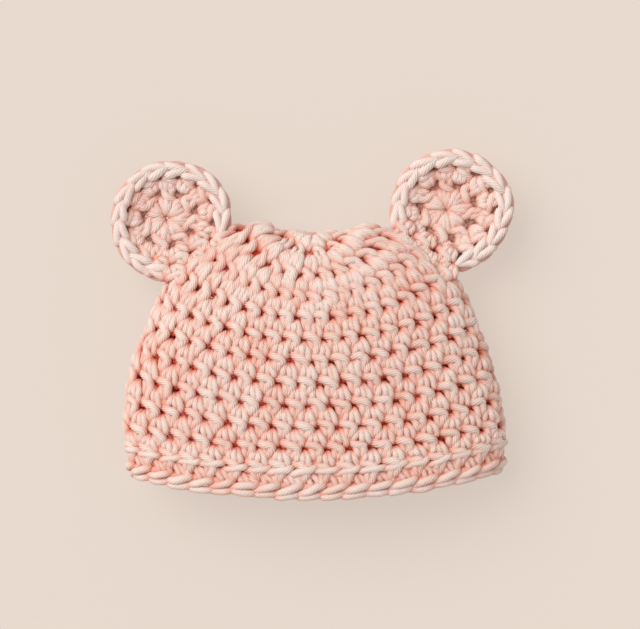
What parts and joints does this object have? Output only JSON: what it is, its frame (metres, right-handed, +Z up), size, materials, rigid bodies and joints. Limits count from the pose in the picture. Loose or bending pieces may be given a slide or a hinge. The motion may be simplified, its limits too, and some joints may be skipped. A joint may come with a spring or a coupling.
{
  "type": "crocheted baby hat",
  "caption": "Soft crocheted baby hat in thick pale pink yarn, lying flat, with a chained brim and round cupped ears sewn to the corners of the crown.",
  "frame": {"origin": "middle of the hat's box, on the surface that its back panel lies on", "axes": "+X toward the right ear, +Y from the brim to the crown, +Z up, out of the front panel"},
  "size_m": [0.188, 0.16, 0.0495],
  "materials": {
    "body_yarn": "matte plied yarn, soft and slightly fuzzy",
    "ear_yarn": "matte plied yarn, soft and slightly fuzzy",
    "sewing_yarn": "matte plied yarn, soft and slightly fuzzy"
  },
  "bodies": {
    "hat": {"magic_ring": "body_yarn", "crown": "body_yarn", "side": "body_yarn", "brim_ridge_chain": "body_yarn", "brim_band": "body_yarn", "brim_edge_chain": "body_yarn", "crown_yarn_end": "body_yarn", "brim_yarn_end": "body_yarn", "ear_left_seam": "sewing_yarn", "ear_right_seam": "sewing_yarn"},
    "ear_left": {"ear_left_ring": "ear_yarn", "ear_left_face": "ear_yarn", "ear_left_rim": "ear_yarn"},
    "ear_right": {"ear_right_ring": "ear_yarn", "ear_right_face": "ear_yarn", "ear_right_rim": "ear_yarn"}
  },
  "joints": [
    {"name": "ear_left_fold", "type": "hinge", "parent": "hat", "child": "ear_left", "pos_m": [-0.05673, 0.0325, 0.022], "axis": [0.8453, 0.5344, 0], "range_deg": [-15, 90], "stiffness_Nm_per_rad": 0.03},
    {"name": "ear_right_fold", "type": "hinge", "parent": "hat", "child": "ear_right", "pos_m": [0.05446, 0.03421, 0.022], "axis": [0.8453, -0.5344, 0], "range_deg": [-15, 90], "stiffness_Nm_per_rad": 0.03}
  ]
}
